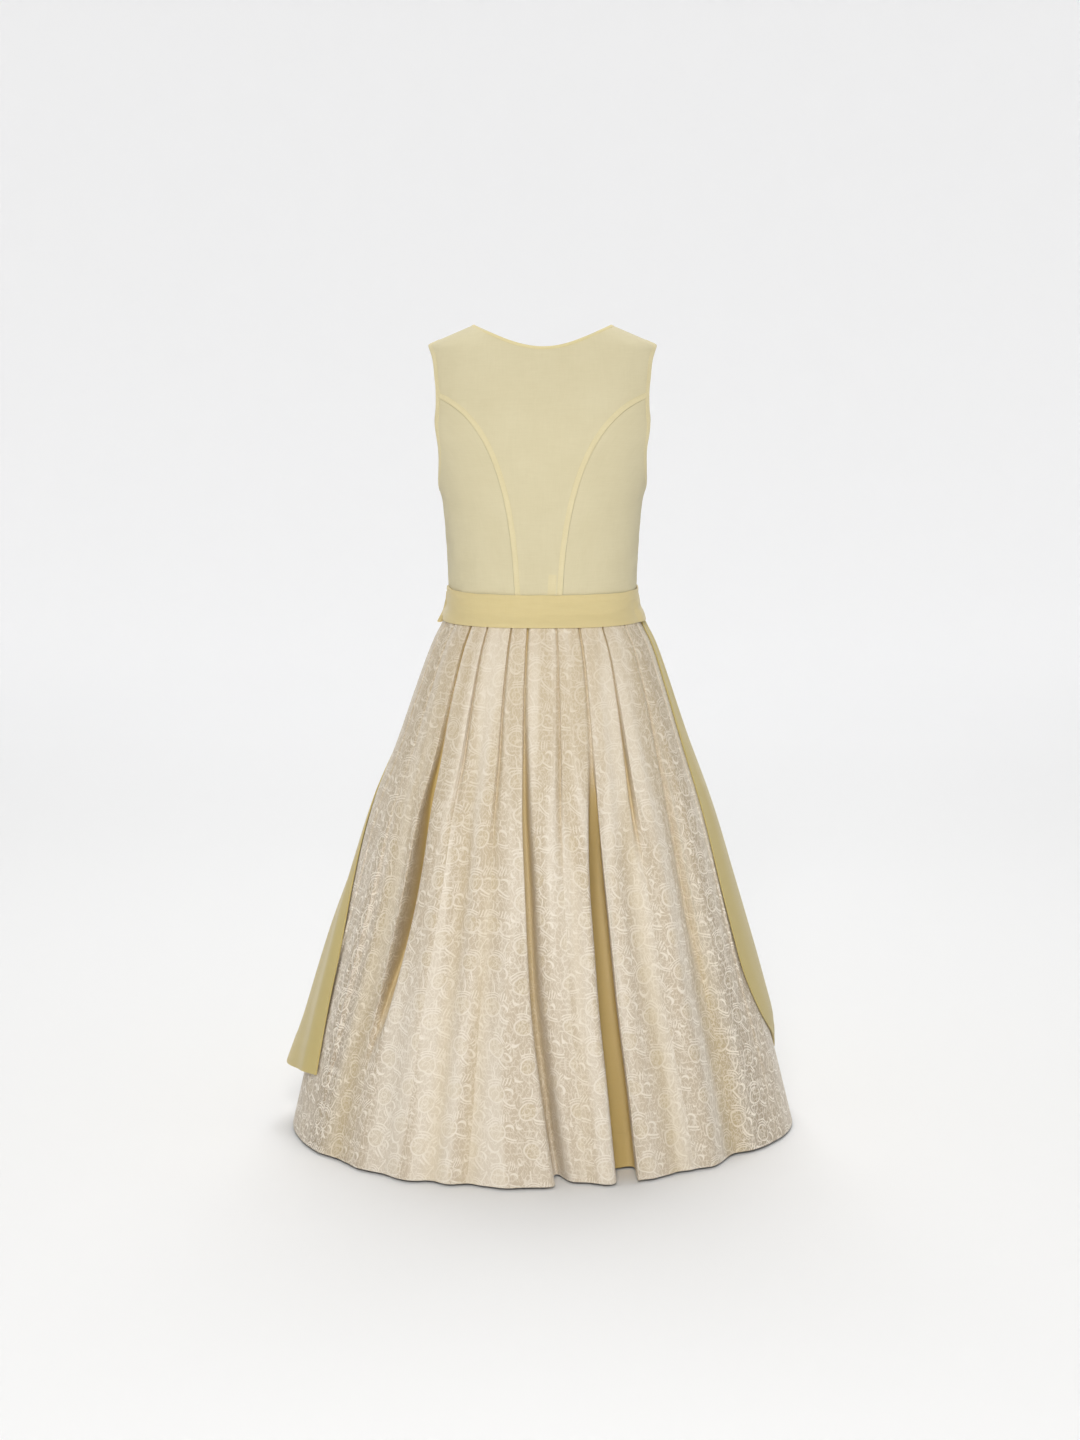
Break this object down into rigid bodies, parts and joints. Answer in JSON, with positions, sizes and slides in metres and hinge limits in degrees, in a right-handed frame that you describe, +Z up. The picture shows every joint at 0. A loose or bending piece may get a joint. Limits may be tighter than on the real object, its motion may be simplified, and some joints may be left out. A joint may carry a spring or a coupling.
{
  "type": "dirndl",
  "caption": "Girl's sleeveless dirndl as worn, hollow: panelled bodice, pleated brocade skirt, and an apron whose waistband ties in a bow.",
  "frame": {"origin": "midway between the two neck points, where the shoulder seams meet the neckline: the level at which the wearer's shoulders or a hanger hold the dress", "axes": "+Z up, -Y towards the wearer's front, +X towards the wearer's left"},
  "size_m": [0.596, 0.506, 0.9314],
  "materials": {
    "bodice_linen": "matt plain weave, pale yellow",
    "skirt_brocade": "satin-figured brocade, cream on cream",
    "apron_cotton": "fine plain weave, soft yellow",
    "button": "cloth-covered, matt"
  },
  "bodies": {
    "root": {"bodice_back": "bodice_linen", "bodice_side_back_left": "bodice_linen", "bodice_side_back_right": "bodice_linen", "bodice_side_front_left": "bodice_linen", "bodice_side_front_right": "bodice_linen", "bodice_front_left": "bodice_linen", "bodice_front_right": "bodice_linen", "skirt_back": "skirt_brocade", "skirt_front": "skirt_brocade", "apron_panel": "apron_cotton", "apron_band": "apron_cotton", "bow_knot": "apron_cotton", "bow_loop_left": "apron_cotton", "bow_loop_right": "apron_cotton", "bow_tail_left": "apron_cotton", "bow_tail_right": "apron_cotton", "button_1": "button", "button_2": "button", "button_3": "button", "button_4": "button", "button_5": "button"}
  },
  "joints": []
}
